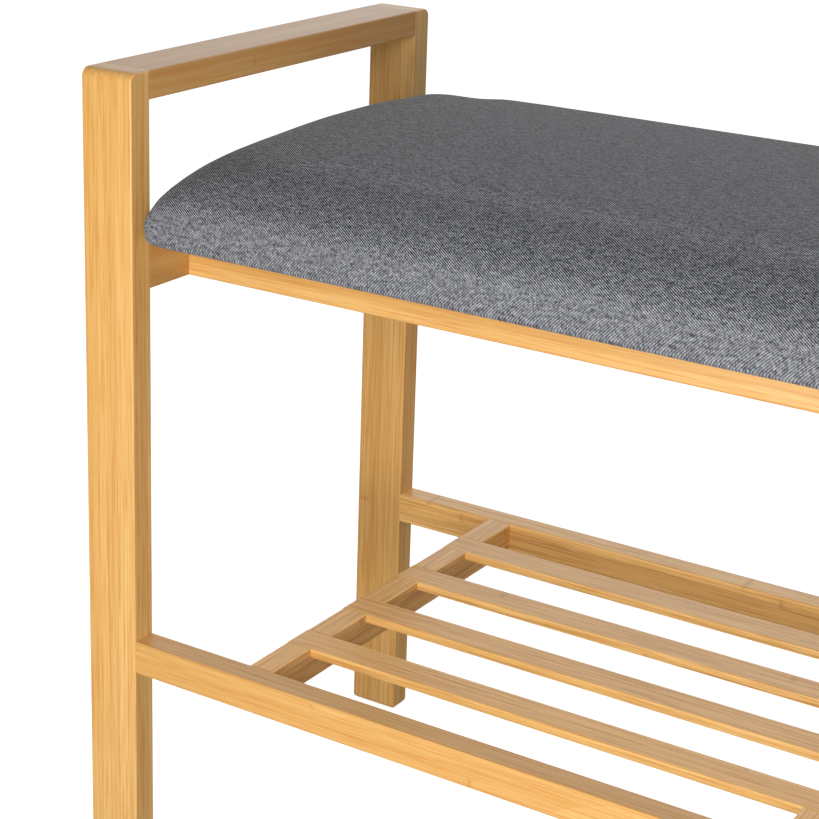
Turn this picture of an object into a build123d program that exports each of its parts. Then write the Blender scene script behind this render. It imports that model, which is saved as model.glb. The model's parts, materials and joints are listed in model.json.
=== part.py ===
from build123d import *
import os

os.makedirs("parts", exist_ok=True)

# All sizes are in millimetres. The bench runs along X, its front faces -Y,
# and Z = 0 is the floor under the middle of the bench.

# Overall sizes
bench_length = 860.0
bench_depth = 297.0
bench_height = 492.0

# End frames: two legs, an armrest and an end rail on each side
leg_width = 34.0
leg_thickness = 16.0
leg_top_radius = 5.2
leg_foot_radius = 3.0
leg_edge_radius = 1.0
armrest_height = 16.0
armrest_edge_radius = 0.8
end_rail_thickness = 16.0
end_rail_bottom = 370.5
end_rail_height = 30.0
rail_edge_radius = 1.0

# Seat frame
seat_rail_setback = 50.0
seat_rail_thickness = 16.0
seat_rail_height = 27.5
brace_width = 16.0

# Shelf
shelf_top = 162.5
shelf_rail_thickness = 16.0
shelf_rail_height = 19.7
crosspiece_width = 16.0
end_crosspiece_inset = 104.2
slat_count = 4
slat_width = 21.0
slat_thickness = 5.0
slat_overhang = 0.6
slat_edge_radius = 1.0
slat_notch_clearance = 0.1

# Cushion
cushion_end_gap = 3.0
cushion_front_setback = 5.0
cushion_corner_radius = 18.0
cushion_edge_rise = 50.0
cushion_crown_rise = 59.0
cushion_top_radius = 36.0
cushion_lower_radius = 5.0
cover_thickness = 1.0
cover_flap = 30.0
foam_clearance = 0.3
board_thickness = 9.0
board_inset = 8.0
board_corner_radius = 14.0
board_side_clearance = 0.2
lining_clearance = 0.5

# Dowels and how deep they sit in the piece that they enter from the side
dowel_clearance = 0.05
armrest_dowel_radius = 4.0
rail_dowel_radius = 3.0
dowel_length = 30.0
dowel_side_depth = 10.0
dowel_end_play = 0.5
armrest_dowel_spacing = 16.0
end_rail_dowel_spacing = 16.0
brace_dowel_spacing = 14.0

# Connector bolts and barrel nuts
bolt_radius = 2.95
bolt_hole_radius = 3.0
bolt_head_radius = 6.0
bolt_head_height = 3.5
counterbore_radius = 6.2
counterbore_depth = 4.0
hex_key_size = 4.0
hex_key_depth = 2.2
nut_radius = 5.0
nut_hole_radius = 5.05
nut_from_end = 22.0
bolt_past_nut = 7.0
shelf_nut_length = 12.0
shelf_bolt_rise = 8.5
seat_nut_length = 14.0
seat_bolt_rise = 13.0

# Seat screws
seat_screws_per_rail = 4
seat_screw_pitch = 220.0
screw_radius = 2.0
screw_hole_radius = 2.05
screw_head_radius = 4.0
screw_head_height = 2.5
screw_pocket_radius = 4.3
screw_pocket_depth = 10.0
screw_bite = 7.0

# Cover staples
staple_crown = 10.0
staple_leg = 7.0
staple_wire_width = 1.2
staple_wire_thickness = 0.7
staple_hole_clearance = 0.05
staple_edge_distance = 8.0
staples_per_side = 11
staple_side_pitch = 68.0
staples_per_end = 3
staple_end_pitch = 50.0

# Positions worked out from the sizes above
half_length = bench_length / 2
half_depth = bench_depth / 2
inner_x = half_length - leg_width
inner_y = half_depth - leg_thickness
armrest_bottom = bench_height - armrest_height
end_rail_x = inner_x + end_rail_thickness / 2
seat_rail_top = end_rail_bottom + seat_rail_height
seat_rail_y = half_depth - seat_rail_setback - seat_rail_thickness / 2
seat_rail_inner_y = seat_rail_y - seat_rail_thickness / 2
seat_bolt_z = end_rail_bottom + seat_bolt_rise
shelf_bottom = shelf_top - shelf_rail_height
shelf_rail_y = half_depth - shelf_rail_thickness / 2
shelf_inner_y = half_depth - shelf_rail_thickness
shelf_bolt_z = shelf_bottom + shelf_bolt_rise
end_crosspiece_x = half_length - end_crosspiece_inset - crosspiece_width / 2
slat_gap = (2 * shelf_inner_y - slat_count * slat_width) / (slat_count + 1)
slat_half_length = end_crosspiece_x + crosspiece_width / 2 + slat_overhang
cover_bottom = seat_rail_top
board_bottom = cover_bottom + cover_thickness
board_top = board_bottom + board_thickness
cushion_half_length = inner_x - cushion_end_gap
cushion_half_depth = half_depth - cushion_front_setback
flap_half_length = cushion_half_length - cover_flap
flap_half_depth = cushion_half_depth - cover_flap

armrest_dowel_z = bench_height - armrest_height / 2
end_rail_dowel_z = end_rail_bottom + end_rail_height / 2
brace_dowel_z = end_rail_bottom + seat_rail_height / 2
crosspiece_dowel_z = shelf_bottom + (shelf_rail_height - slat_thickness) / 2


def block(x, y, z):
    """A box between two limits on each axis."""
    size = [limits[1] - limits[0] for limits in (x, y, z)]
    middle = [(limits[0] + limits[1]) / 2 for limits in (x, y, z)]
    return Pos(*middle) * Box(*size)


def rod_x(radius, start, end, y, z):
    """A cylinder along X from start to end."""
    return Pos((start + end) / 2, y, z) * Rot(0, 90, 0) * Cylinder(radius, abs(end - start))


def rod_y(radius, start, end, x, z):
    """A cylinder along Y from start to end."""
    return Pos(x, (start + end) / 2, z) * Rot(90, 0, 0) * Cylinder(radius, abs(end - start))


def rod_z(radius, start, end, x, y):
    """A cylinder along Z from start to end."""
    return Pos(x, y, (start + end) / 2) * Cylinder(radius, abs(end - start))


def pair(middle, spacing):
    """Two positions, evenly about the middle."""
    return [middle - spacing / 2, middle + spacing / 2]


def spread(count, pitch):
    """Evenly spaced positions about zero."""
    return [(i - (count - 1) / 2) * pitch for i in range(count)]


def mirrored(shape, plane):
    return mirror(shape, about=plane)


# ---- Dowels ---------------------------------------------------------------

def dowel(radius, face_y, side, x, z):
    """A dowel along Y across a joint at face_y; side is where the cross-grain piece lies."""
    start = face_y + side * dowel_side_depth
    end = start - side * dowel_length
    rod = rod_y(radius, start, end, x, z)
    return chamfer(rod.edges(), 0.6)


def dowel_hole(radius, face_y, side, x, z):
    """The hole for that dowel in both pieces, a little longer at each end."""
    start = face_y + side * (dowel_side_depth + dowel_end_play)
    end = face_y - side * (dowel_length - dowel_side_depth + dowel_end_play)
    return rod_y(radius + dowel_clearance, start, end, x, z)


def armrest_dowel_places():
    middle = half_length - leg_width / 2
    return [(x, armrest_dowel_z) for x in pair(middle, armrest_dowel_spacing)]


def end_rail_dowel_places():
    return [(end_rail_x, z) for z in pair(end_rail_dowel_z, end_rail_dowel_spacing)]


def brace_dowel_places():
    return [(0, z) for z in pair(brace_dowel_z, brace_dowel_spacing)]


def crosspiece_positions():
    return [-end_crosspiece_x, 0, end_crosspiece_x]


# ---- Bolts, nuts and screws -----------------------------------------------

def connector_bolt(head_seat_x, joint_x, y, z):
    """A flat-headed hex key bolt along X that enters from the +X side."""
    tip = joint_x - nut_from_end - bolt_past_nut
    shank = rod_x(bolt_radius, tip, head_seat_x, y, z)
    shank = chamfer(shank.edges().sort_by(Axis.X)[0], 0.8)
    head = rod_x(bolt_head_radius, head_seat_x, head_seat_x + bolt_head_height, y, z)
    head = fillet(head.edges().sort_by(Axis.X)[-1], 1.0)
    key_start = head_seat_x + bolt_head_height - hex_key_depth
    key = extrude(Plane.YZ * RegularPolygon(hex_key_size / 2, 6, major_radius=False), hex_key_depth + 1)
    return shank + head - Pos(key_start, y, z) * key


def bolt_hole(head_seat_x, joint_x, y, z):
    """The counterbored hole for that bolt, through both pieces."""
    tip = joint_x - nut_from_end - bolt_past_nut - 2
    hole = rod_x(bolt_hole_radius, tip, head_seat_x + 1, y, z)
    return hole + rod_x(counterbore_radius, head_seat_x, head_seat_x + counterbore_depth + 1, y, z)


def barrel_nut(x, y, z, length):
    """A slotted round nut along Z, cross-drilled for the bolt along X."""
    nut = rod_z(nut_radius, z - length / 2, z + length / 2, x, y)
    nut = chamfer(nut.edges(), 0.5)
    slot = Pos(x, y, z - length / 2) * Box(2 * nut_radius + 1, 1.2, 2.4)
    return nut - rod_x(bolt_hole_radius, x - nut_radius - 1, x + nut_radius + 1, y, z) - slot


def nut_hole(x, y, z, length, underside):
    return rod_z(nut_hole_radius, underside - 1, z + length / 2, x, y)


def seat_screw(x, y):
    head_seat = end_rail_bottom + screw_pocket_depth
    shank = rod_z(screw_radius, head_seat, board_bottom + screw_bite, x, y)
    shank = chamfer(shank.edges().sort_by(Axis.Z)[-1], 1.2)
    head = rod_z(screw_head_radius, head_seat - screw_head_height, head_seat, x, y)
    head = fillet(head.edges().sort_by(Axis.Z)[0], 0.8)
    cross = Box(4.6, 1.0, 2.6) + Box(1.0, 4.6, 2.6)
    return shank + head - Pos(x, y, head_seat - screw_head_height) * cross


def seat_screw_places():
    rows = [-seat_rail_y, seat_rail_y]
    return [(x, y) for y in rows for x in spread(seat_screws_per_rail, seat_screw_pitch)]


def shelf_bolt_line():
    """Head seat and joint face of a shelf bolt in the right-hand legs."""
    return half_length - counterbore_depth, inner_x


def seat_bolt_line():
    """Head seat and joint face of a seat bolt in the right-hand end rail."""
    return inner_x + end_rail_thickness - counterbore_depth, inner_x


# ---- End frames -----------------------------------------------------------

def make_leg():
    """The front leg on the right; the others are its mirror images."""
    leg = block((inner_x, half_length), (-half_depth, -inner_y), (0, bench_height))
    front_top_edge = leg.faces().sort_by(Axis.Z)[-1].edges().sort_by(Axis.Y)[0]
    leg = fillet(front_top_edge, leg_top_radius)
    sides = leg.faces().sort_by(Axis.X)
    outline = [e for e in sides[0].edges() + sides[-1].edges() if e.center().Z > leg_foot_radius]
    leg = fillet(outline, leg_edge_radius)
    foot = leg.faces().sort_by(Axis.Z)[0]
    leg = fillet(foot.edges(), leg_foot_radius)
    for x, z in armrest_dowel_places():
        leg -= dowel_hole(armrest_dowel_radius, -inner_y, -1, x, z)
    for x, z in end_rail_dowel_places():
        leg -= dowel_hole(rail_dowel_radius, -inner_y, -1, x, z)
    head_seat, joint = shelf_bolt_line()
    return leg - bolt_hole(head_seat, joint, -shelf_rail_y, shelf_bolt_z)


def make_armrest():
    """The armrest on the right, between the tops of its two legs."""
    rest = block((inner_x, half_length), (-inner_y, inner_y), (armrest_bottom, bench_height))
    rest = fillet(rest.edges().filter_by(Axis.Y), armrest_edge_radius)
    for x, z in armrest_dowel_places():
        rest -= dowel_hole(armrest_dowel_radius, -inner_y, -1, x, z)
        rest -= dowel_hole(armrest_dowel_radius, inner_y, 1, x, z)
    return rest


def make_end_rail():
    """The seat end rail on the right, with a bolt hole for each long seat rail."""
    outer_x = inner_x + end_rail_thickness
    top = end_rail_bottom + end_rail_height
    rail = block((inner_x, outer_x), (-inner_y, inner_y), (end_rail_bottom, top))
    rail = fillet(rail.edges().filter_by(Axis.Y), rail_edge_radius)
    for x, z in end_rail_dowel_places():
        rail -= dowel_hole(rail_dowel_radius, -inner_y, -1, x, z)
        rail -= dowel_hole(rail_dowel_radius, inner_y, 1, x, z)
    head_seat, joint = seat_bolt_line()
    for y in (-seat_rail_y, seat_rail_y):
        rail -= bolt_hole(head_seat, joint, y, seat_bolt_z)
    return rail


# ---- Seat frame -----------------------------------------------------------

def make_seat_rail():
    """The front seat rail, between the end rails."""
    low_y = -seat_rail_y - seat_rail_thickness / 2
    high_y = low_y + seat_rail_thickness
    rail = block((-inner_x, inner_x), (low_y, high_y), (end_rail_bottom, seat_rail_top))
    rail = fillet(rail.edges().filter_by(Axis.X), rail_edge_radius)
    head_seat, joint = seat_bolt_line()
    drill = bolt_hole(head_seat, joint, -seat_rail_y, seat_bolt_z)
    nut_x = joint - nut_from_end
    drill += nut_hole(nut_x, -seat_rail_y, seat_bolt_z, seat_nut_length, end_rail_bottom)
    rail -= drill
    rail -= mirrored(drill, Plane.YZ)
    for x, z in brace_dowel_places():
        rail -= dowel_hole(rail_dowel_radius, -seat_rail_inner_y, -1, x, z)
    for x in spread(seat_screws_per_rail, seat_screw_pitch):
        pocket_top = end_rail_bottom + screw_pocket_depth
        rail -= rod_z(screw_pocket_radius, end_rail_bottom - 1, pocket_top, x, -seat_rail_y)
        rail -= rod_z(screw_hole_radius, pocket_top - 1, seat_rail_top + 1, x, -seat_rail_y)
    return rail


def make_centre_brace():
    """The cross rail under the middle of the seat."""
    x = (-brace_width / 2, brace_width / 2)
    y = (-seat_rail_inner_y, seat_rail_inner_y)
    brace = block(x, y, (end_rail_bottom, seat_rail_top))
    brace = fillet(brace.edges().filter_by(Axis.Y), rail_edge_radius)
    for x, z in brace_dowel_places():
        brace -= dowel_hole(rail_dowel_radius, -seat_rail_inner_y, -1, x, z)
        brace -= dowel_hole(rail_dowel_radius, seat_rail_inner_y, 1, x, z)
    return brace


# ---- Shelf ----------------------------------------------------------------

def make_shelf_rail():
    """The front shelf rail, between the legs."""
    rail = block((-inner_x, inner_x), (-half_depth, -shelf_inner_y), (shelf_bottom, shelf_top))
    rail = fillet(rail.edges().filter_by(Axis.X), rail_edge_radius)
    head_seat, joint = shelf_bolt_line()
    drill = bolt_hole(head_seat, joint, -shelf_rail_y, shelf_bolt_z)
    nut_x = joint - nut_from_end
    drill += nut_hole(nut_x, -shelf_rail_y, shelf_bolt_z, shelf_nut_length, shelf_bottom)
    rail -= drill
    rail -= mirrored(drill, Plane.YZ)
    for x in crosspiece_positions():
        rail -= dowel_hole(rail_dowel_radius, -shelf_inner_y, -1, x, crosspiece_dowel_z)
    return rail


def slat_centres():
    pitch = slat_width + slat_gap
    return spread(slat_count, pitch)


def make_crosspiece(x):
    """A crosspiece between the shelf rails, notched so that the slats lie flush."""
    sides = (x - crosspiece_width / 2, x + crosspiece_width / 2)
    piece = block(sides, (-shelf_inner_y, shelf_inner_y), (shelf_bottom, shelf_top))
    piece = fillet(piece.edges().filter_by(Axis.Y), 0.8)
    half_notch = slat_width / 2 + slat_notch_clearance
    floor = shelf_top - slat_thickness
    for y in slat_centres():
        notch_x = (sides[0] - 1, sides[1] + 1)
        piece -= block(notch_x, (y - half_notch, y + half_notch), (floor, shelf_top + 1))
    piece -= dowel_hole(rail_dowel_radius, -shelf_inner_y, -1, x, crosspiece_dowel_z)
    piece -= dowel_hole(rail_dowel_radius, shelf_inner_y, 1, x, crosspiece_dowel_z)
    return piece


def make_slat(y):
    x = (-slat_half_length, slat_half_length)
    sides = (y - slat_width / 2, y + slat_width / 2)
    slat = block(x, sides, (shelf_top - slat_thickness, shelf_top))
    top = slat.faces().sort_by(Axis.Z)[-1]
    return fillet(top.edges(), slat_edge_radius)


# ---- Cushion --------------------------------------------------------------

def cushion_solid(inset, bottom):
    """The crowned shape of the cushion, smaller by inset on the sides and top."""
    half_x = cushion_half_length - inset
    half_y = cushion_half_depth - inset
    edge_z = cover_bottom + cushion_edge_rise - inset
    crown_z = cover_bottom + cushion_crown_rise - inset
    lower = Polyline((-half_y, edge_z), (-half_y, bottom), (half_y, bottom), (half_y, edge_z))
    crown = ThreePointArc((half_y, edge_z), (0, crown_z), (-half_y, edge_z))
    body = extrude(Plane.YZ * make_face(lower + crown), half_x, both=True)
    body = fillet(body.faces().sort_by(Axis.Z)[-1].edges(), cushion_top_radius - inset)
    body = fillet(body.edges().filter_by(Axis.Z), cushion_corner_radius - inset)
    return fillet(body.faces().sort_by(Axis.Z)[0].edges(), cushion_lower_radius - inset)


def make_seat_board():
    """The plywood board that the cushion is built on."""
    length = 2 * (cushion_half_length - board_inset)
    depth = 2 * (cushion_half_depth - board_inset)
    plan = RectangleRounded(length, depth, board_corner_radius)
    board = Pos(0, 0, board_bottom) * extrude(plan, board_thickness)
    for x, y in seat_screw_places():
        board -= rod_z(screw_hole_radius, board_bottom - 1, board_bottom + screw_bite + 0.3, x, y)
    return board - staple_leg_holes()


def make_seat_foam():
    """The foam, which covers the board and laps its edges."""
    inset = cover_thickness + foam_clearance
    foam = cushion_solid(inset, board_bottom + foam_clearance)
    length = 2 * (cushion_half_length - board_inset + board_side_clearance)
    depth = 2 * (cushion_half_depth - board_inset + board_side_clearance)
    pocket = extrude(RectangleRounded(length, depth, board_corner_radius), board_thickness + 5)
    return foam - Pos(0, 0, board_top - board_thickness - 5) * pocket


def make_seat_cover():
    """The fabric cover, turned under the board all round."""
    shell = cushion_solid(0, cover_bottom) - cushion_solid(cover_thickness, board_bottom)
    half_x, half_y = flap_half_length, flap_half_depth
    opening = block((-half_x, half_x), (-half_y, half_y), (cover_bottom - 1, board_bottom + 0.5))
    return shell - opening - staple_leg_holes()


def make_seat_lining():
    """The thin lining under the board, inside the turned-under cover."""
    half_x = flap_half_length - lining_clearance
    half_y = flap_half_depth - lining_clearance
    lining = block((-half_x, half_x), (-half_y, half_y), (cover_bottom, board_bottom))
    for x, y in seat_screw_places():
        lining -= rod_z(screw_hole_radius, cover_bottom - 1, board_bottom + 1, x, y)
    return lining


def staple_places():
    """Middle of each staple, and whether its crown runs along X."""
    side_y = flap_half_depth + staple_edge_distance
    end_x = flap_half_length + staple_edge_distance
    places = []
    for y in (-side_y, side_y):
        places += [(x, y, True) for x in spread(staples_per_side, staple_side_pitch)]
    for x in (-end_x, end_x):
        places += [(x, y, False) for y in spread(staples_per_end, staple_end_pitch)]
    return places


def staple_legs(x, y, along_x, clearance):
    offset = (staple_crown - staple_wire_width) / 2
    wide = staple_wire_width + 2 * clearance
    thin = staple_wire_thickness + 2 * clearance
    height = staple_leg + clearance
    legs = []
    for side in (-offset, offset):
        middle = cover_bottom + height / 2
        if along_x:
            legs.append(Pos(x + side, y, middle) * Box(wide, thin, height))
        else:
            legs.append(Pos(x, y + side, middle) * Box(thin, wide, height))
    return legs


def staple_leg_holes():
    holes = []
    for x, y, along_x in staple_places():
        for leg in staple_legs(x, y, along_x, staple_hole_clearance):
            holes.append(Pos(0, 0, -0.5) * leg + Pos(0, 0, 0.5) * leg)
    return Compound(children=holes)


def make_staple(x, y, along_x):
    size = (staple_crown, staple_wire_thickness) if along_x else (staple_wire_thickness, staple_crown)
    crown_z = cover_bottom - staple_wire_thickness / 2
    staple = Pos(x, y, crown_z) * Box(size[0], size[1], staple_wire_thickness)
    for leg in staple_legs(x, y, along_x, 0):
        staple += leg
    return staple


# ---- Groups of fasteners --------------------------------------------------

def four_corners(shape):
    """The shape and its mirror images, for the four corners of the bench."""
    pair_y = [shape, mirrored(shape, Plane.XZ)]
    return pair_y + [mirrored(s, Plane.YZ) for s in pair_y]


def make_armrest_dowels():
    group = []
    for x, z in armrest_dowel_places():
        group += four_corners(dowel(armrest_dowel_radius, -inner_y, -1, x, z))
    return Compound(children=group)


def make_end_rail_dowels():
    group = []
    for x, z in end_rail_dowel_places():
        group += four_corners(dowel(rail_dowel_radius, -inner_y, -1, x, z))
    return Compound(children=group)


def make_brace_dowels():
    group = []
    for x, z in brace_dowel_places():
        pin = dowel(rail_dowel_radius, -seat_rail_inner_y, -1, x, z)
        group += [pin, mirrored(pin, Plane.XZ)]
    return Compound(children=group)


def make_crosspiece_dowels():
    group = []
    for x in crosspiece_positions():
        pin = dowel(rail_dowel_radius, -shelf_inner_y, -1, x, crosspiece_dowel_z)
        group += [pin, mirrored(pin, Plane.XZ)]
    return Compound(children=group)


def make_shelf_bolts():
    head_seat, joint = shelf_bolt_line()
    return Compound(children=four_corners(connector_bolt(head_seat, joint, -shelf_rail_y, shelf_bolt_z)))


def make_shelf_nuts():
    nut = barrel_nut(inner_x - nut_from_end, -shelf_rail_y, shelf_bolt_z, shelf_nut_length)
    return Compound(children=four_corners(nut))


def make_seat_bolts():
    head_seat, joint = seat_bolt_line()
    return Compound(children=four_corners(connector_bolt(head_seat, joint, -seat_rail_y, seat_bolt_z)))


def make_seat_nuts():
    nut = barrel_nut(inner_x - nut_from_end, -seat_rail_y, seat_bolt_z, seat_nut_length)
    return Compound(children=four_corners(nut))


def make_seat_screws():
    return Compound(children=[seat_screw(x, y) for x, y in seat_screw_places()])


def make_cover_staples():
    return Compound(children=[make_staple(x, y, along_x) for x, y, along_x in staple_places()])


def save(name, shape):
    export_step(shape, f"parts/{name}.step")


# ---- Every piece, in a file of its own -------------------------------------

leg_front_right = make_leg()
leg_back_right = mirrored(leg_front_right, Plane.XZ)
save("leg_front_right", leg_front_right)
save("leg_back_right", leg_back_right)
save("leg_front_left", mirrored(leg_front_right, Plane.YZ))
save("leg_back_left", mirrored(leg_back_right, Plane.YZ))

armrest_right = make_armrest()
save("armrest_right", armrest_right)
save("armrest_left", mirrored(armrest_right, Plane.YZ))

end_rail_right = make_end_rail()
save("seat_end_rail_right", end_rail_right)
save("seat_end_rail_left", mirrored(end_rail_right, Plane.YZ))

seat_front_rail = make_seat_rail()
save("seat_front_rail", seat_front_rail)
save("seat_back_rail", mirrored(seat_front_rail, Plane.XZ))
save("seat_centre_brace", make_centre_brace())

shelf_front_rail = make_shelf_rail()
save("shelf_front_rail", shelf_front_rail)
save("shelf_back_rail", mirrored(shelf_front_rail, Plane.XZ))
for place, x in zip(("left", "middle", "right"), crosspiece_positions()):
    save(f"shelf_crosspiece_{place}", make_crosspiece(x))
for number, y in enumerate(slat_centres(), start=1):
    save(f"shelf_slat_{number}", make_slat(y))

save("seat_board", make_seat_board())
save("seat_foam", make_seat_foam())
save("seat_cover", make_seat_cover())
save("seat_lining", make_seat_lining())

save("cover_staples", make_cover_staples())
save("armrest_dowels", make_armrest_dowels())
save("end_rail_dowels", make_end_rail_dowels())
save("brace_dowels", make_brace_dowels())
save("crosspiece_dowels", make_crosspiece_dowels())
save("shelf_bolts", make_shelf_bolts())
save("shelf_barrel_nuts", make_shelf_nuts())
save("seat_bolts", make_seat_bolts())
save("seat_barrel_nuts", make_seat_nuts())
save("seat_screws", make_seat_screws())
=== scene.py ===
# %% [markdown]
# # An entryway bench, dressed over its CAD frame
# The bench comes in as a fixed frame: every leg, rail, slat, bolt and board is already there at its
# true size. This lesson adds what the frame can't hold: the grain of laminated bamboo, the padded
# seat with its woven cover, and the studio that it stands in. All lengths are in metres, X runs
# along the bench, the front faces -Y and the floor is Z = 0.

import json
import math

import bmesh
import bpy
from mathutils import Matrix, Vector


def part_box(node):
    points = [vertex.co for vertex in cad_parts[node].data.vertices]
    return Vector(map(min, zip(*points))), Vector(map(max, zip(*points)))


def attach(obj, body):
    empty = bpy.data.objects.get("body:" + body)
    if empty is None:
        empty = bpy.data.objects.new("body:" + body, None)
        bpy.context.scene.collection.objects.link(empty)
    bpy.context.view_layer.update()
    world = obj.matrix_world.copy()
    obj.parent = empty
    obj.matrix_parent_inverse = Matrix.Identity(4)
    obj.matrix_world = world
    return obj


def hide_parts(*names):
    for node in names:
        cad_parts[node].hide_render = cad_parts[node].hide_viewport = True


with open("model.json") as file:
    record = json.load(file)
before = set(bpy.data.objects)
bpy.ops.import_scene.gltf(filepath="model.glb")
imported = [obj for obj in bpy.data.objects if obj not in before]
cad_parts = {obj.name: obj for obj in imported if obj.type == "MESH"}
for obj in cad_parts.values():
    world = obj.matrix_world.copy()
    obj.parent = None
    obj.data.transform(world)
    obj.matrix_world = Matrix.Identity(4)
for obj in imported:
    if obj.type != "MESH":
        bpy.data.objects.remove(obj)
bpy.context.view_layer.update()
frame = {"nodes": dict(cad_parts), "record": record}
nodes = frame["nodes"]
print("pieces in the frame:", len(nodes))

# %% [markdown]
# ## Small helpers
# Blender's operators act on whatever is selected, as they do under the hand, so each step starts by
# deselecting everything. These helpers pick one object, and pick faces or vertices by their place.

# %% Selection helpers


def pick(*objects):
    """Select only these objects and make the first one active."""
    if bpy.context.object and bpy.context.object.mode != "OBJECT":
        bpy.ops.object.mode_set(mode="OBJECT")
    bpy.ops.object.select_all(action="DESELECT")
    for item in objects:
        item.select_set(True)
    bpy.context.view_layer.objects.active = objects[0]


def edit(piece, kind="VERT"):
    """Go into edit mode on one piece with nothing selected."""
    pick(piece)
    bpy.ops.object.mode_set(mode="EDIT")
    bpy.ops.mesh.select_mode(type=kind)
    bpy.ops.mesh.select_all(action="DESELECT")


def choose_faces(piece, test):
    """Select the faces that pass a test, and count them."""
    sheet = bmesh.from_edit_mesh(piece.data)
    chosen = [face for face in sheet.faces if test(face)]
    for face in chosen:
        face.select_set(True)
    bmesh.update_edit_mesh(piece.data)
    return len(chosen)


def leave():
    bpy.ops.object.mode_set(mode="OBJECT")


def freeze(piece):
    """Put the piece's place and size into its mesh, so that its object sits at the origin."""
    pick(piece)
    bpy.ops.object.transform_apply(location=True, rotation=True, scale=True)


# %% [markdown]
# ## A tool box for materials
# A material is a small graph. Writing each link out in full hides the idea, so this helper makes a
# node, sets its values and joins its inputs in one line. The same helper serves materials and groups.

# %% Node helpers


def add_node(tree, kind, inputs=None, **settings):
    """Add a node, set its properties, and set or join its inputs."""
    node = tree.nodes.new(kind)
    for name, value in settings.items():
        setattr(node, name, value)
    for key, value in (inputs or {}).items():
        socket = node.inputs[key]
        if isinstance(value, bpy.types.NodeSocket):
            tree.links.new(value, socket)
        else:
            socket.default_value = value
    return node


def calculate(tree, operation, a, b=0.0, c=0.0):
    """One sum on numbers, as a Math node."""
    node = add_node(tree, "ShaderNodeMath", {0: a, 1: b, 2: c}, operation=operation)
    return node.outputs[0]


def blend_colour(tree, amount, a, b):
    """Mix two colours by an amount."""
    node = add_node(tree, "ShaderNodeMix", data_type="RGBA", clamp_factor=True)
    for socket, value in zip((node.inputs[0], node.inputs[6], node.inputs[7]), (amount, a, b)):
        if isinstance(value, bpy.types.NodeSocket):
            tree.links.new(value, socket)
        else:
            socket.default_value = value
    return node.outputs[2]


def smooth_range(tree, value, start, end, low=0.0, high=1.0):
    """A soft step from low at start to high at end."""
    return add_node(
        tree,
        "ShaderNodeMapRange",
        {"Value": value, "From Min": start, "From Max": end, "To Min": low, "To Max": high},
        interpolation_type="SMOOTHSTEP",
    ).outputs[0]


def stretched_noise(tree, place, scale, detail=2.0, roughness=0.5):
    """Noise over a stretched place, so that its spots are long one way and short another."""
    stretched = add_node(tree, "ShaderNodeMapping", {"Vector": place, "Scale": scale})
    settings = {"Vector": stretched.outputs[0], "Scale": 1.0, "Detail": detail, "Roughness": roughness}
    return add_node(tree, "ShaderNodeTexNoise", settings).outputs[0]


def new_group(name, inputs, outputs):
    """An empty shader node group with named sockets."""
    group = bpy.data.node_groups.new(name, "ShaderNodeTree")
    for socket, kind, value in inputs:
        made = group.interface.new_socket(socket, in_out="INPUT", socket_type=kind)
        if value is not None:
            made.default_value = value
    for socket, kind in outputs:
        group.interface.new_socket(socket, in_out="OUTPUT", socket_type=kind)
    return group, group.nodes.new("NodeGroupInput"), group.nodes.new("NodeGroupOutput")


# %% [markdown]
# ## Laminated bamboo
# Bamboo boards are glued up from narrow strips. Three things give them away: each strip has its own
# tone, fine dark fibres run the whole length, and every so often a strip carries the scar of a culm
# joint, a short darker band with a hairline across it. The group below takes a position whose Z runs
# with the grain and gives these three as masks, so that every board can mix them in its own amounts.

# %% The bamboo group
FLOAT, VECTOR = "NodeSocketFloat", "NodeSocketVector"
scar_reach, hairline_reach = 0.0034, 0.0007
scar_strength = 0.45
strips_without_scar = 0.66


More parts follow.
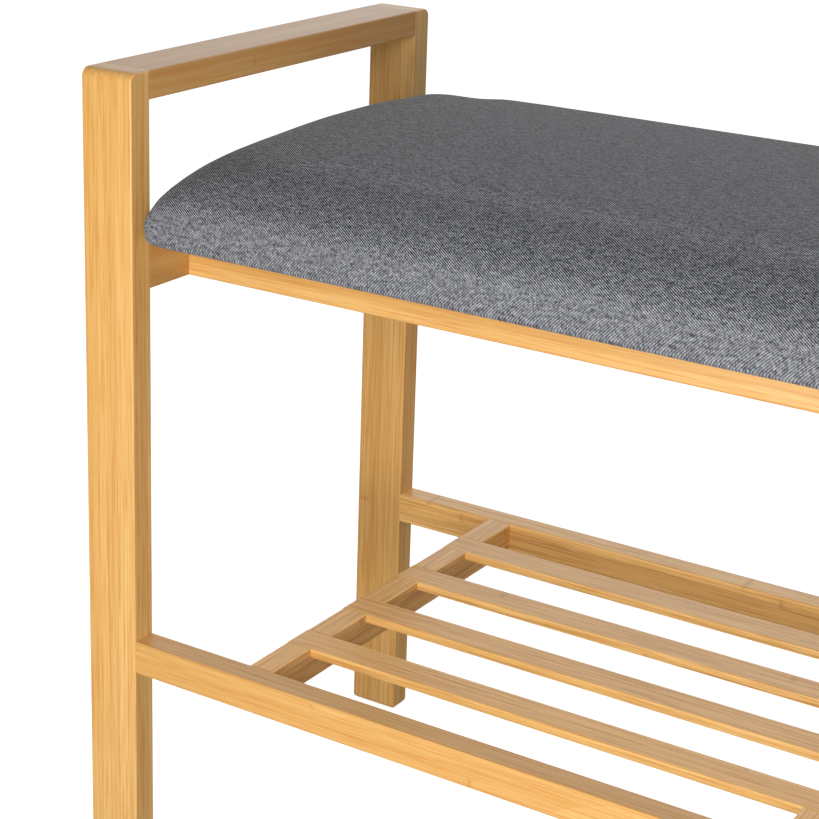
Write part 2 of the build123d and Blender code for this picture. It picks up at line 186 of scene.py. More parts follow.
def make_bamboo_group():
    group, source, result = new_group(
        "bamboo strips",
        [
            ("Position", VECTOR, None),
            ("Strip Width", FLOAT, 0.006),
            ("Strip Depth", FLOAT, 0.016),
            ("Joint Spacing", FLOAT, 0.23),
        ],
        [(mask, FLOAT) for mask in ("Strip Tone", "Fibre", "Joint", "Glue Line", "Drift")],
    )
    place = source.outputs["Position"]
    spacing = source.outputs["Joint Spacing"]
    # The strips wander a little, as they do when they are pressed together.
    wander = stretched_noise(group, place, (6.0, 6.0, 2.2), detail=1.0)
    shift = calculate(group, "MULTIPLY_ADD", wander, 0.0026, -0.0013)
    axes = add_node(group, "ShaderNodeSeparateXYZ", {0: place})
    across = calculate(group, "ADD", axes.outputs[0], shift)
    deep = calculate(group, "ADD", axes.outputs[1], shift)
    strip = calculate(group, "DIVIDE", across, source.outputs["Strip Width"])
    deep = calculate(group, "ADD", deep, 0.0005)
    layer = calculate(group, "DIVIDE", deep, source.outputs["Strip Depth"])
    strip_number = calculate(group, "FLOOR", strip)
    layer_number = calculate(group, "FLOOR", layer)
    cell = add_node(group, "ShaderNodeCombineXYZ", {0: strip_number, 1: layer_number, 2: 3.7})
    chance = add_node(
        group, "ShaderNodeTexWhiteNoise", {"Vector": cell.outputs[0]}, noise_dimensions="3D"
    )
    # A hairline of glue between neighbouring strips.
    edge = calculate(group, "PINGPONG", strip, 0.5)
    glue = smooth_range(group, edge, 0.0, 0.07, 1.0, 0.0)
    # Fibres: noise that is very fine across the grain and long with it.
    fibre_fine = stretched_noise(group, place, (2100.0, 2100.0, 34.0), detail=3.0, roughness=0.6)
    fibre_broad = stretched_noise(group, place, (640.0, 640.0, 11.0))
    broad_share = calculate(group, "MULTIPLY", fibre_broad, 0.45)
    fibre = calculate(group, "MULTIPLY_ADD", fibre_fine, 0.55, broad_share)
    # Joints of the culm: each strip is offset by its own amount, and not every strip shows one.
    random_axes = add_node(group, "ShaderNodeSeparateColor", {0: chance.outputs["Color"]})
    along = calculate(group, "DIVIDE", axes.outputs[2], spacing)
    slide = calculate(group, "MULTIPLY_ADD", random_axes.outputs[1], 1.0, along)
    ripple = calculate(group, "MULTIPLY_ADD", fibre_broad, 0.012, slide)
    away = calculate(group, "MULTIPLY", calculate(group, "PINGPONG", ripple, 0.5), spacing)
    band = smooth_range(group, away, 0.0, scar_reach, scar_strength, 0.0)
    hair = smooth_range(group, away, 0.0, hairline_reach, 1.0, 0.0)
    present = calculate(group, "GREATER_THAN", random_axes.outputs[2], strips_without_scar)
    joint = calculate(group, "MULTIPLY", calculate(group, "MAXIMUM", band, hair), present)
    # A slow drift of tone over the whole board.
    drift = stretched_noise(group, place, (38.0, 38.0, 3.0))
    masks = {
        "Strip Tone": chance.outputs["Value"],
        "Fibre": fibre,
        "Joint": joint,
        "Glue Line": glue,
        "Drift": drift,
    }
    for name, value in masks.items():
        group.links.new(value, result.inputs[name])
    return group


bamboo_group = make_bamboo_group()
print("bamboo group nodes:", len(bamboo_group.nodes))

# %% [markdown]
# Every board gets the same bamboo, but its grain runs along its own length. Swapping the axes of the
# object's own coordinates before they enter the group turns the grain, and nothing is unwrapped. The
# boards wear a clear satin lacquer, which is a thin coat over a slightly rough base.

# %% Bamboo materials


def grain_position(tree, grain_axis):
    """Object coordinates turned so that Z runs with the grain."""
    here = add_node(tree, "ShaderNodeTexCoord").outputs["Object"]
    axes = add_node(tree, "ShaderNodeSeparateXYZ", {0: here})
    order = {"X": (1, 2, 0), "Y": (0, 2, 1), "Z": (0, 1, 2)}[grain_axis]
    turned = {slot: axes.outputs[axis] for slot, axis in enumerate(order)}
    return add_node(tree, "ShaderNodeCombineXYZ", turned).outputs[0]


def bamboo_material(name, grain_axis, strip_width, strip_depth, pale, deep, joint_spacing=0.23):
    material = bpy.data.materials.new(name)
    material.use_nodes = True
    tree = material.node_tree
    shader = tree.nodes["Principled BSDF"]
    strips = tree.nodes.new("ShaderNodeGroup")
    strips.node_tree = bamboo_group
    tree.links.new(grain_position(tree, grain_axis), strips.inputs["Position"])
    strips.inputs["Strip Width"].default_value = strip_width
    strips.inputs["Strip Depth"].default_value = strip_depth
    strips.inputs["Joint Spacing"].default_value = joint_spacing
    mask = strips.outputs
    slow_tone = calculate(tree, "MULTIPLY_ADD", mask["Drift"], 1.3, -0.40)
    tone = calculate(tree, "MULTIPLY_ADD", mask["Strip Tone"], 0.60, slow_tone)
    colour = blend_colour(tree, tone, pale, deep)
    # Fibres, glue and joints are laid over the board's tone in turn, each by its share.
    dark_fibre = smooth_range(tree, mask["Fibre"], 0.42, 0.66)
    for amount, share, dark in (
        (dark_fibre, 0.80, fibre_brown),
        (mask["Glue Line"], 0.20, glue_brown),
        (mask["Joint"], 0.50, joint_brown),
    ):
        colour = blend_colour(tree, calculate(tree, "MULTIPLY", amount, share), colour, dark)
    tree.links.new(colour, shader.inputs["Base Color"])
    rough = calculate(tree, "MULTIPLY_ADD", mask["Fibre"], 0.16, 0.33)
    tree.links.new(rough, shader.inputs["Roughness"])
    sunk = calculate(tree, "MULTIPLY_ADD", mask["Glue Line"], 0.6, dark_fibre)
    height = calculate(tree, "SUBTRACT", 1.0, sunk)
    bump = add_node(tree, "ShaderNodeBump", {"Height": height, "Strength": 0.22, "Distance": 0.00008})
    tree.links.new(bump.outputs[0], shader.inputs["Normal"])
    shader.inputs["Coat Weight"].default_value = 0.18
    shader.inputs["Coat Roughness"].default_value = 0.22
    return material


fibre_brown = (0.56, 0.225, 0.030, 1.0)
glue_brown = (0.42, 0.17, 0.03, 1.0)
joint_brown = (0.40, 0.13, 0.02, 1.0)
pale_bamboo = (0.80, 0.508, 0.195, 1.0)
deep_bamboo = (0.655, 0.362, 0.100, 1.0)
# Painted light: the next two tones make the boards under the seat paler than the rest.
painted_light_bamboo_pale = (0.98, 0.595, 0.215, 1.0)
painted_light_bamboo_deep = (0.90, 0.520, 0.165, 1.0)
# Painted shade: the next two tones make the armrests and end rails deeper than the rest.
painted_shade_bamboo_pale = (0.66, 0.375, 0.125, 1.0)
painted_shade_bamboo_deep = (0.50, 0.255, 0.070, 1.0)

# The width and depth of the strips in each family of boards.
upright, lengthwise = (0.0068, 0.017), (0.0165, 0.0062)
crosswise, slat = (0.0068, 0.0056), (0.0072, 0.02)
bamboo_leg = bamboo_material("bamboo, upright", "Z", *upright, pale_bamboo, deep_bamboo)
bamboo_along = bamboo_material("bamboo, along the bench", "X", *lengthwise, pale_bamboo, deep_bamboo)
# Painted light: the back of the shelf is made paler.
bamboo_shelf_back_painted_light = bamboo_material(
    "bamboo, back of the shelf, painted light", "X", *lengthwise, painted_light_bamboo_pale, painted_light_bamboo_deep
)
# Painted shade: the armrests and end rails are made deeper.
bamboo_across_painted_shade = bamboo_material(
    "bamboo, armrests and end rails, painted shade", "Y", *crosswise, painted_shade_bamboo_pale, painted_shade_bamboo_deep, 0.17
)
# Painted light: the crosspieces and the slats are made paler.
bamboo_crosspiece_painted_light = bamboo_material(
    "bamboo, crosspieces, painted light", "Y", *crosswise, painted_light_bamboo_pale, painted_light_bamboo_deep, 0.17
)
bamboo_slat_painted_light = bamboo_material("bamboo, slats, painted light", "X", *slat, painted_light_bamboo_pale, painted_light_bamboo_deep, 0.19)
print("bamboo materials:", [m.name for m in bpy.data.materials if m.name.startswith("bamboo")])

# %% [markdown]
# ## Plain finishes
# Plywood, dowels, steel, foam and the thin lining are seen only from below or from the ends.
# Each still gets a little of what makes it real: plies and blotches, brushed scratches, specks.

# %% Plain finishes


def plain_material(name, base, other, scale, roughness, metallic=0.0, bump_distance=0.0):
    """A finish whose colour wanders between two values over an uneven noise."""
    material = bpy.data.materials.new(name)
    material.use_nodes = True
    tree = material.node_tree
    shader = tree.nodes["Principled BSDF"]
    here = add_node(tree, "ShaderNodeTexCoord").outputs["Object"]
    noise = stretched_noise(tree, here, scale, detail=3.0)
    mask = smooth_range(tree, noise, 0.3, 0.7)
    tree.links.new(blend_colour(tree, mask, base, other), shader.inputs["Base Color"])
    rough = calculate(tree, "MULTIPLY_ADD", noise, 0.2, roughness - 0.1)
    tree.links.new(rough, shader.inputs["Roughness"])
    shader.inputs["Metallic"].default_value = metallic
    if bump_distance:
        uneven = {"Height": noise, "Strength": 0.5, "Distance": bump_distance}
        bump = add_node(tree, "ShaderNodeBump", uneven)
        tree.links.new(bump.outputs[0], shader.inputs["Normal"])
    return material


plywood = plain_material("plywood", (0.55, 0.38, 0.21, 1), (0.42, 0.26, 0.13, 1), (30, 160, 700), 0.7)
beech = plain_material("beech dowel", (0.62, 0.42, 0.25, 1), (0.5, 0.32, 0.18, 1), (400, 40, 400), 0.65)
zinc_pale, zinc_grey = (0.62, 0.62, 0.60, 1), (0.48, 0.49, 0.50, 1)
steel = plain_material("zinc-plated steel", zinc_pale, zinc_grey, (900, 300, 900), 0.32, metallic=1.0)
felt_grey, felt_pale = (0.66, 0.64, 0.60, 1), (0.78, 0.76, 0.72, 1)
felt = plain_material(
    "non-woven lining", felt_grey, felt_pale, (900, 900, 900), 0.9, bump_distance=0.0001
)
foam_cream, foam_shade = (0.78, 0.73, 0.55, 1), (0.66, 0.60, 0.42, 1)
open_foam = plain_material(
    "open-cell foam", foam_cream, foam_shade, (1600, 1600, 1600), 0.95, bump_distance=0.0002
)
print("plain finishes:", [m.name for m in (plywood, beech, steel, felt, open_foam)])

# %% Lay the finishes on
finishes = {
    "wood_leg": bamboo_leg,
    "wood_rail_x": bamboo_along,
    "wood_rail_y": bamboo_across_painted_shade,
    "wood_slat": bamboo_slat_painted_light,
    "board_plywood": plywood,
    "dowel_beech": beech,
    "fastener_steel": steel,
    "lining": felt,
    "foam": open_foam,
}
# These boards are made paler than the rest of their slot: painted light on the boards under the seat.
painted_light_boards = {
    "shelf_back_rail": bamboo_shelf_back_painted_light,
    "shelf_crosspiece_left": bamboo_crosspiece_painted_light,
    "shelf_crosspiece_middle": bamboo_crosspiece_painted_light,
    "shelf_crosspiece_right": bamboo_crosspiece_painted_light,
}
for entry in frame["record"]["subparts"]:
    finish = painted_light_boards.get(entry["node"], finishes.get(entry["material_slot"]))
    if finish is None:
        continue  # the cover's cloth comes later, on its own piece
    piece = nodes[entry["node"]]
    piece.data.materials.clear()
    piece.data.materials.append(finish)
print("finishes laid on:", sorted(finishes))

# %% [markdown]
# ## The woven cover
# The cover is a twill of mottled yarns. Twill shows as fine slanting ridges, and the mottling comes
# from single yarns that are nearly black or nearly white. The pattern reads the cover's own map, laid
# out in metres, so the slant runs over the front edge without a break, as one cut of cloth does.

# %% Twill group


def make_twill_group():
    group, source, result = new_group(
        "mottled twill",
        [
            ("Cloth Position", VECTOR, None),
            ("Turns Across", FLOAT, 560.0),
            ("Turns Along", FLOAT, 610.0),
            ("Float Length", FLOAT, 0.0012),
        ],
        [(mask, FLOAT) for mask in ("Ridge", "Float Tone", "Slub")],
    )
    place = source.outputs["Cloth Position"]
    axes = add_node(group, "ShaderNodeSeparateXYZ", {0: place})
    u, v = axes.outputs[0], axes.outputs[1]
    uneven = add_node(group, "ShaderNodeTexNoise", {"Vector": place, "Scale": 190.0, "Detail": 2.0})
    # One turn is one ridge, counted square to the ridges.
    turns_u = calculate(group, "MULTIPLY", u, source.outputs["Turns Across"])
    turns_v = calculate(group, "MULTIPLY", v, source.outputs["Turns Along"])
    turns = calculate(group, "ADD", turns_u, turns_v)
    turns = calculate(group, "MULTIPLY_ADD", uneven.outputs[0], 0.16, turns)
    ridge = smooth_range(group, calculate(group, "PINGPONG", turns, 0.5), 0.10, 0.34)
    # Each float of yarn is one short length of a ridge, and has a tone of its own.
    along_v, along_u = calculate(group, "MULTIPLY", v, 0.68), calculate(group, "MULTIPLY", u, 0.73)
    length = calculate(group, "SUBTRACT", along_v, along_u)
    run = calculate(group, "DIVIDE", length, source.outputs["Float Length"])
    ridge_number = calculate(group, "FLOOR", calculate(group, "ADD", turns, 0.5))
    run_number = calculate(group, "FLOOR", run)
    cell = add_node(group, "ShaderNodeCombineXYZ", {0: ridge_number, 1: run_number, 2: 1.3})
    chance = add_node(
        group, "ShaderNodeTexWhiteNoise", {"Vector": cell.outputs[0]}, noise_dimensions="3D"
    )
    # Slubs: thick and thin places in the yarns, some along the cloth and some across it.
    slub_along = stretched_noise(group, place, (1250.0, 420.0, 1.0))
    slub_across = stretched_noise(group, place, (130.0, 620.0, 1.0))
    across_share = calculate(group, "MULTIPLY", slub_across, 0.38)
    slub = calculate(group, "MULTIPLY_ADD", slub_along, 0.62, across_share)
    masks = {"Ridge": ridge, "Float Tone": chance.outputs["Value"], "Slub": slub}
    for name, value in masks.items():
        group.links.new(value, result.inputs[name])
    return group


twill_group = make_twill_group()
print("twill group nodes:", len(twill_group.nodes))

# %% [markdown]
# The cloth doesn't look the same all over. Over the shoulder it is darkened, which is painted shade.
# Pulled down under the edge it stretches on the bias: its other diagonal opens up
# and its ridges lie flatter. Both follow the height above the bottom of the seat.

# %% Cover cloth
seat_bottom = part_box("seat_cover")[0][2]
pull_start, pull_end = seat_bottom + 0.026, seat_bottom + 0.008
shoulder_shade_start, shoulder_shade_full = seat_bottom + 0.020, seat_bottom + 0.034
shoulder_shade_ease, shoulder_shade_end = seat_bottom + 0.044, seat_bottom + 0.053
ridges_over_the_seat, ridges_where_pulled = (560.0, 610.0), (610.0, -610.0)
furrow = (0.005, 0.006, 0.009, 1)
yarn_dark = (0.040, 0.043, 0.052, 1)
yarn_light = (0.78, 0.79, 0.83, 1)
flattened_ridge = (0.62, 0.62, 0.62, 1)


def cloth_material():
    material = bpy.data.materials.new("mottled grey twill")
    material.use_nodes = True
    tree = material.node_tree
    shader = tree.nodes["Principled BSDF"]
    laid = add_node(tree, "ShaderNodeUVMap", uv_map="weave").outputs[0]
    twills = []
    for across, along in (ridges_over_the_seat, ridges_where_pulled):
        twill = tree.nodes.new("ShaderNodeGroup")
        twill.node_tree = twill_group
        tree.links.new(laid, twill.inputs["Cloth Position"])
        twill.inputs["Turns Across"].default_value = across
        twill.inputs["Turns Along"].default_value = along
        twills.append(twill.outputs)
    here = add_node(tree, "ShaderNodeTexCoord").outputs["Object"]
    height = add_node(tree, "ShaderNodeSeparateXYZ", {0: here}).outputs[2]
    pulled = smooth_range(tree, height, pull_start, pull_end)
    rising = smooth_range(tree, height, shoulder_shade_start, shoulder_shade_full)
    levelling = smooth_range(tree, height, shoulder_shade_ease, shoulder_shade_end, 1.0, 0.0)
    shoulder_painted_shade = calculate(tree, "MULTIPLY", rising, levelling)
    # Mottled yarns: every float has its tone, and the slubs darken or lighten it.
    slub_tone = calculate(tree, "MULTIPLY_ADD", twills[0]["Slub"], 1.25, -0.46)
    mottle = calculate(tree, "MULTIPLY_ADD", twills[0]["Float Tone"], 0.27, slub_tone)
    # Painted shade: the shoulder band is made darker.
    mottle = calculate(tree, "MULTIPLY_ADD", shoulder_painted_shade, -0.06, mottle)
    yarns = blend_colour(tree, mottle, yarn_dark, yarn_light)
    # Ridges: the two diagonals, flattened where pulled, and deepened on the shoulder as painted shade.
    ridge = blend_colour(tree, pulled, twills[0]["Ridge"], twills[1]["Ridge"])
    ridge = blend_colour(tree, calculate(tree, "MULTIPLY", pulled, 0.45), ridge, flattened_ridge)
    ridge = calculate(tree, "POWER", ridge, calculate(tree, "MULTIPLY_ADD", shoulder_painted_shade, 2.8, 1.2))
    lit = calculate(tree, "MULTIPLY_ADD", ridge, 0.94, 0.06)
    tree.links.new(blend_colour(tree, lit, furrow, yarns), shader.inputs["Base Color"])
    bump = add_node(tree, "ShaderNodeBump", {"Height": ridge, "Strength": 0.35, "Distance": 0.00016})
    tree.links.new(bump.outputs[0], shader.inputs["Normal"])
    rough = calculate(tree, "MULTIPLY_ADD", ridge, -0.08, 0.95)
    tree.links.new(rough, shader.inputs["Roughness"])
    shader.inputs["Sheen Weight"].default_value = 0.10
    shader.inputs["Sheen Roughness"].default_value = 0.5
    shader.inputs["Specular IOR Level"].default_value = 0.2
    return material


cover_cloth = cloth_material()
print("cloth nodes:", len(cover_cloth.node_tree.nodes))

# %% [markdown]
# ## The padded seat
# The real seat is a slab of foam on a board, with cloth drawn over it and stapled underneath. Its
# sides stand nearly upright at the bottom and roll over into a long soft shoulder, and its corners
# are tight at the board but wide at the top. It starts here as a plain box with many cuts. The box
# is then laid onto that rolled outline, and cloth simulation lets the cover swell and settle.

# %% Outline of the seat
seat_low, seat_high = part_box("seat_cover")
seat_middle = (Vector(seat_low) + Vector(seat_high)) / 2
# The cloth bellies a little past its solid, more at the front than at the back.
seat_middle.y -= 0.0010
seat_half_x = (seat_high[0] - seat_low[0]) / 2
seat_half_y = (seat_high[1] - seat_low[1]) / 2 + 0.0015
widest_height = seat_low[2] + 0.014
# The shoulder is a quarter of an oval, and the top is domed both ways.
shoulder_run, shoulder_rise = 0.047, 0.0367
crown_along, crown_across = 0.0018, 0.0079
# The corners start tight, widen over the first few millimetres of inset, and then keep growing.
corner_radius, corner_ease, corner_growth = 0.0046, 0.0130, 0.82
ease_inset = 0.007
# Under the widest line the side leans in slightly and turns under round a small radius.
side_lean, tuck_radius = 0.0006, 0.0034
# Room left under the finished surface for the swelling.
swell_room = 0.0028
print("seat half sizes:", round(seat_half_x, 4), round(seat_half_y, 4))


def corner_rounded(x, y, half_x, half_y, radius):
    """Move a point of a rectangle's inside so that the corners become arcs."""
    over_x = abs(x) - (half_x - radius)
    over_y = abs(y) - (half_y - radius)
    if over_x <= 0 or over_y <= 0:
        return x, y
    reach = max(over_x, over_y)
    length = math.hypot(over_x, over_y)
    x = math.copysign(half_x - radius + over_x * reach / length, x)
    y = math.copysign(half_y - radius + over_y * reach / length, y)
    return x, y


def crown_rise(x, y):
    """How much the top is domed at a place measured from the middle of the seat."""
    return crown_along * (1 - (x / seat_half_x) ** 2) + crown_across * (1 - (y / seat_half_y) ** 2)


def seat_point(u, v, climb, room):
    """A point of the seat: u and v from -1 to 1 across it, climb from -1 underneath to 1 on top."""
    if climb >= 0:
        turn = climb * math.pi / 2
        inset = shoulder_run * (1 - math.cos(turn))
        z = widest_height + shoulder_rise * math.sin(turn)
        swell = math.sin(turn)
    else:
        straight = widest_height - seat_low[2] - tuck_radius
        if climb > -0.5:
            inset, z, swell = 0.0, widest_height + 2 * climb * straight, 0.0
        else:
            turn = (-climb - 0.5) * math.pi
            inset = tuck_radius * (1 - math.cos(turn))
            z, swell = seat_low[2] + tuck_radius * (1 - math.sin(turn)), 0.0
        inset += side_lean * climb**2
    half_x = seat_half_x - inset
    half_y = seat_half_y - inset
    radius = corner_radius + corner_ease * min(inset / ease_inset, 1.0) + corner_growth * inset
    radius = min(radius, half_y * 0.98)  # less than a half circle at each end
    x, y = corner_rounded(u * half_x, v * half_y, half_x, half_y, radius)
    z += swell * (crown_rise(x, y) - room)
    return x + seat_middle.x, y + seat_middle.y, z


# %% [markdown]
# A cube with even cuts has a side wall and two flat faces. Its walls become the rolled sides: the
# height on the cube says how far round the shoulder a point lies. Voxel remeshing then evens out the
# mesh for the simulation.

# %% Lay a cut box onto the outline
box_cuts = 47
gathering = 1.15
voxel = 0.005


def smooth_share(value):
    """Cuts gather towards the ends of the long side, where the shape turns fastest."""
    return math.copysign(1 - (1 - abs(value)) ** gathering, value)


def make_seat_form():
    pick(next(iter(nodes.values())))
    bpy.ops.object.select_all(action="DESELECT")
    bpy.ops.mesh.primitive_cube_add(size=2.0)
    form = bpy.context.object
    form.name = "seat_form"
    edit(form)
    bpy.ops.mesh.select_all(action="SELECT")
    bpy.ops.mesh.subdivide(number_cuts=box_cuts)
    leave()
    for corner in form.data.vertices:
        x, y, z = corner.co
        rim = max(abs(x), abs(y))
        on_the_side = rim > 0.999
        if on_the_side:
            corner.co = seat_point(smooth_share(x), smooth_share(y), z, swell_room)
            continue
        edge_x, edge_y, edge_z = seat_point(
            smooth_share(x / rim) if rim > 0 else 0.0,
            smooth_share(y / rim) if rim > 0 else 0.0,
            math.copysign(1.0, z),
            swell_room,
        )
        inner_x = seat_middle.x + (edge_x - seat_middle.x) * rim
        inner_y = seat_middle.y + (edge_y - seat_middle.y) * rim
        if z > 0:
            top = widest_height + shoulder_rise - swell_room
            top += crown_rise(inner_x - seat_middle.x, inner_y - seat_middle.y)
            corner.co = (inner_x, inner_y, top)
        else:
            corner.co = (inner_x, inner_y, seat_low[2])
    pick(form)
    form.data.remesh_voxel_size = voxel
    form.data.remesh_voxel_adaptivity = 0.0
    bpy.ops.object.voxel_remesh()
    return form


seat_form = make_seat_form()
print("seat form:", len(seat_form.data.vertices), "points")

# %% [markdown]
# Inside a sewn cover the foam pushes outwards, so the simulation uses air pressure and no gravity.
# The turned-under part lies against the board and can't move, so those points are pinned. The foam
# keeps the cloth from moving inwards, and tight cloth stops after a little, so each point may only
# travel outwards, and ever less willingly up to a limit.

# %% Swell the cover
swell_cap = 0.0028
pinned_height = seat_low[2] + 0.0035


def swell(form):
    rest = [corner.co.copy() for corner in form.data.vertices]
    facing = [corner.normal.copy() for corner in form.data.vertices]
    pins = form.vertex_groups.new(name="stapled")
    pins.add([i for i, place in enumerate(rest) if place.z < pinned_height], 1.0, "REPLACE")
    pick(form)
    bpy.ops.object.modifier_add(type="CLOTH")
    cloth = form.modifiers[-1]
    cloth.settings.quality = 5
    cloth.settings.mass = 0.25
    cloth.settings.tension_stiffness = 18
    cloth.settings.compression_stiffness = 12
    cloth.settings.shear_stiffness = 4
    cloth.settings.bending_stiffness = 1.2
    cloth.settings.use_pressure = True
    cloth.settings.uniform_pressure_force = 4.0
    cloth.settings.effector_weights.gravity = 0.0
    cloth.settings.vertex_group_mass = "stapled"
    cloth.collision_settings.use_collision = False
    last = 20
    cloth.point_cache.frame_start = 1
    cloth.point_cache.frame_end = last
    for step in range(1, last + 1):
        bpy.context.scene.frame_set(step)
    bpy.ops.object.modifier_apply(modifier=cloth.name)
    bpy.context.scene.frame_set(1)
    furthest = 0.0
    for corner, start, outwards in zip(form.data.vertices, rest, facing):
        travel = (corner.co - start).dot(outwards)
        furthest = max(furthest, travel)
        corner.co = start + outwards * swell_cap * math.tanh(max(travel, 0.0) / swell_cap)
    form.vertex_groups.clear()
    return furthest


furthest = swell(seat_form)
print("furthest the cloth wanted to go, in mm:", round(furthest * 1000, 1))
print("held, in mm, at", swell_cap * 1000)

# %% [markdown]
# Stopping the cloth leaves small steps between neighbours, so it is relaxed. One subdivision then
# gives the round light that taut cloth has.

# %% Relax and refine
relaxed_from = widest_height + 0.003
relaxed = [i for i, corner in enumerate(seat_form.data.vertices) if corner.co.z > relaxed_from]
upper = seat_form.vertex_groups.new(name="shoulder and top")
upper.add(relaxed, 1.0, "REPLACE")
pick(seat_form)
bpy.ops.object.modifier_add(type="SMOOTH")
seat_form.modifiers[-1].iterations = 14
seat_form.modifiers[-1].factor = 0.5
seat_form.modifiers[-1].vertex_group = upper.name
bpy.ops.object.modifier_apply(modifier=seat_form.modifiers[-1].name)
bpy.ops.object.modifier_add(type="SUBSURF")
seat_form.modifiers[-1].levels = 1
seat_form.modifiers[-1].render_levels = 1
bpy.ops.object.modifier_apply(modifier=seat_form.modifiers[-1].name)
seat_form.vertex_groups.clear()
print("seat after refining:", len(seat_form.data.vertices), "points")

# %% [markdown]
# ## Foam and cover from one form
# The foam is the same form drawn in by the thickness of the cloth, and cut off flat where it lies on
# the board. The cover keeps the outside, is opened underneath inside its turned-under margin, and is
# given the thickness of the cloth.

# %% Foam
board_low, board_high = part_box("seat_board")
lining_low, lining_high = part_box("seat_lining")
cloth_thickness = board_low[2] - seat_low[2]
foam_gap = 0.0005

pick(seat_form)
bpy.ops.object.duplicate()
foam = bpy.context.object
foam.name = "seat_foam_block"
edit(foam)
bpy.ops.mesh.select_all(action="SELECT")
bpy.ops.transform.shrink_fatten(value=-(cloth_thickness + foam_gap))
on_the_board = (0, 0, board_high[2])
bpy.ops.mesh.bisect(plane_co=on_the_board, plane_no=(0, 0, 1), use_fill=True, clear_inner=True)
leave()
foam.data.materials.clear()
foam.data.materials.append(open_foam)
pick(foam)
bpy.ops.object.shade_smooth_by_angle(angle=math.radians(40))
print("foam height:", round(foam.dimensions.z, 4))

# %% Cover
cover = seat_form
cover.name = "seat_cover_cloth"
margin = 0.0005
underside = seat_low[2] + 0.002
edit(cover, "FACE")
opened = choose_faces(
    cover,
    lambda face: face.calc_center_median().z < underside
    and lining_low[0] - margin < face.calc_center_median().x < lining_high[0] + margin
    and lining_low[1] - margin < face.calc_center_median().y < lining_high[1] + margin,
)
bpy.ops.mesh.delete(type="FACE")
leave()
print("faces opened underneath:", opened)

# %% [markdown]
# The map of the cloth follows the surface: across the seat it runs down the front and back, and
# along the seat it runs down the ends. Where the surface turns over the shoulder, height stands in
# for depth, so the weave keeps its size.

# %% Lay out the weave
crown_top = max(corner.co.z for corner in cover.data.vertices)
weave = cover.data.uv_layers.new(name="weave")
for polygon in cover.data.polygons:
    sideways = abs(polygon.normal.x) > max(abs(polygon.normal.y), 0.6)
    for loop in polygon.loop_indices:
        place = cover.data.vertices[cover.data.loops[loop].vertex_index].co
        drop = crown_top - place.z
        along = place.x + math.copysign(drop, place.x) if sideways else place.x
        over = place.y if sideways else place.y + math.copysign(drop, place.y)
        weave.data[loop].uv = (along, over)
cover.data.materials.clear()
cover.data.materials.append(cover_cloth)
pick(cover)
bpy.ops.object.modifier_add(type="SOLIDIFY")
cover.modifiers[-1].thickness = cloth_thickness * 0.9
cover.modifiers[-1].offset = -1.0
bpy.ops.object.modifier_apply(modifier=cover.modifiers[-1].name)
bpy.ops.object.shade_smooth()
print("cover faces:", len(cover.data.polygons), "size", [round(v, 4) for v in cover.dimensions])

# %% Freeze both, hide the frame's seat pieces, and hang both on the root body
for piece, node, slot_name in ((cover, "seat_cover", "cover_fabric"), (foam, "seat_foam", "foam")):
    freeze(piece)
    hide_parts(node)
    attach(piece, "root")

# %% [markdown]
# ## The studio
# The bench stands on a pale floor in a white room. To the camera both are plain white. The light on
# the bench comes from the far end of the room, which edges the boards, and faintly from overhead,
# while two soft lamps in front light the faces that look at the viewer. Only the camera's own rays
# find the floor bright, so that it doesn't light the undersides from below.

# %% Floor
bpy.ops.object.select_all(action="DESELECT")
bpy.ops.mesh.primitive_plane_add(size=40.0, location=(0, 0, 0))
floor = bpy.context.object
floor.name = "studio_floor"
floor_finish = bpy.data.materials.new("pale lit floor")
floor_finish.use_nodes = True
floor_tree = floor_finish.node_tree
floor_seen = floor_tree.nodes["Principled BSDF"]
floor_seen.inputs["Emission Color"].default_value = (1, 1, 1, 1)
floor_seen.inputs["Emission Strength"].default_value = 0.75
floor_dim = floor_tree.nodes.new("ShaderNodeBsdfPrincipled")
for floor_shader, grey in ((floor_seen, 0.8), (floor_dim, 0.35)):
    floor_shader.inputs["Base Color"].default_value = (grey, grey, grey, 1)
    floor_shader.inputs["Roughness"].default_value = 1.0
    floor_shader.inputs["Specular IOR Level"].default_value = 0.0
floor_mix = floor_tree.nodes.new("ShaderNodeMixShader")
floor_rays = floor_tree.nodes.new("ShaderNodeLightPath")
floor_tree.links.new(floor_rays.outputs["Is Camera Ray"], floor_mix.inputs[0])
floor_tree.links.new(floor_dim.outputs[0], floor_mix.inputs[1])
floor_tree.links.new(floor_seen.outputs[0], floor_mix.inputs[2])
floor_tree.links.new(floor_mix.outputs[0], floor_tree.nodes["Material Output"].inputs[0])
floor.data.materials.append(floor_finish)
print("floor:", floor.name, [round(side, 1) for side in floor.dimensions])

# %% Room light
room_back, room_above = 2.1, 0.45
above_start, above_full = 0.40, 0.80
room = bpy.data.worlds.new("studio room")
bpy.context.scene.world = room
room.use_nodes = True
room_tree = room.node_tree
background = room_tree.nodes["Background"]
direction = add_node(room_tree, "ShaderNodeTexCoord").outputs["Generated"]
room_axes = add_node(room_tree, "ShaderNodeSeparateXYZ", {0: direction})
low = smooth_range(room_tree, room_axes.outputs[2], above_start, above_full, 1.0, 0.0)
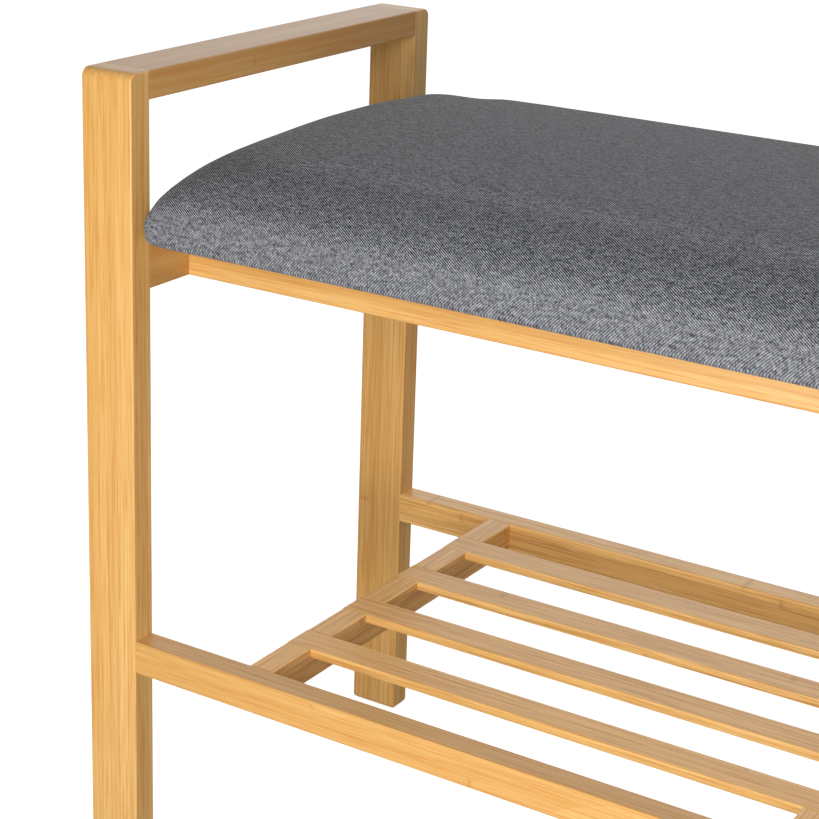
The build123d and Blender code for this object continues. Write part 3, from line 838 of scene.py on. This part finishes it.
# The far end of the room glows most straight behind the bench, and fades towards the sides.
behind = calculate(room_tree, "MAXIMUM", room_axes.outputs[1], 0.0)
behind = calculate(room_tree, "MULTIPLY", behind, behind)
glow = calculate(room_tree, "MULTIPLY", calculate(room_tree, "MULTIPLY", behind, room_back), low)
above = calculate(room_tree, "SUBTRACT", 1.0, low)
glow = calculate(room_tree, "MULTIPLY_ADD", above, room_above, glow)
seen = add_node(room_tree, "ShaderNodeLightPath").outputs["Is Camera Ray"]
room_tree.links.new(calculate(room_tree, "MAXIMUM", glow, seen), background.inputs["Strength"])
background.inputs["Color"].default_value = (1, 1, 1, 1)
print("room nodes:", len(room_tree.nodes))

# %% Soft lamps
key_watts, low_watts = 7.0, 15.5


def soft_lamp(name, place, aim, size, power):
    lamp = bpy.data.lights.new(name, "AREA")
    lamp.shape = "RECTANGLE"
    lamp.size, lamp.size_y = size
    lamp.energy = power
    holder = bpy.data.objects.new(name, lamp)
    bpy.context.collection.objects.link(holder)
    holder.location = place
    holder.rotation_euler = (Vector(aim) - Vector(place)).to_track_quat("-Z", "Y").to_euler()
    holder.visible_camera = False
    return holder


front_lamp = soft_lamp("front softbox", (0.07, -1.15, 0.75), (0, 0, 0.3), (0.5, 0.4), key_watts)
low_lamp = soft_lamp("low softbox", (0.13, -1.3, 0.24), (0, 0, 0.25), (1.3, 0.38), low_watts)
for lamp in (front_lamp, low_lamp):
    print(lamp.name, "at", [round(v, 2) for v in lamp.location])

# %% [markdown]
# ## The camera
# The viewer stands in front and to the right, a little above the seat, and looks along the bench to
# its left end. A long lens keeps the uprights nearly parallel. The camera is rolled a touch off
# level, and a small downward shift of the lens moves the view without tipping it.

# %% Camera
lens, lens_shift = 94.42, -0.1032
camera_place = Vector((0.3250, -1.01728, 0.71133))
camera_azimuth, camera_dip, camera_roll = (math.radians(v) for v in (31.983, 17.499, 1.864))
ahead = Vector(
    (
        -math.sin(camera_azimuth) * math.cos(camera_dip),
        math.cos(camera_azimuth) * math.cos(camera_dip),
        -math.sin(camera_dip),
    )
)
level_right = ahead.cross(Vector((0, 0, 1))).normalized()
level_up = level_right.cross(ahead)
right = level_right * math.cos(camera_roll) + level_up * math.sin(camera_roll)
up = right.cross(ahead)
lens_data = bpy.data.cameras.new("camera")
lens_data.sensor_width = 36.0
lens_data.lens = lens
lens_data.shift_y = lens_shift
lens_data.clip_start = 0.05
lens_data.dof.use_dof = False
camera = bpy.data.objects.new("camera", lens_data)
bpy.context.collection.objects.link(camera)
turned = Matrix((right, up, -ahead)).transposed().to_4x4()
camera.matrix_world = Matrix.Translation(camera_place) @ turned
bpy.context.scene.camera = camera
bpy.context.scene.view_settings.view_transform = "Standard"
print("camera at", [round(v, 3) for v in camera_place])
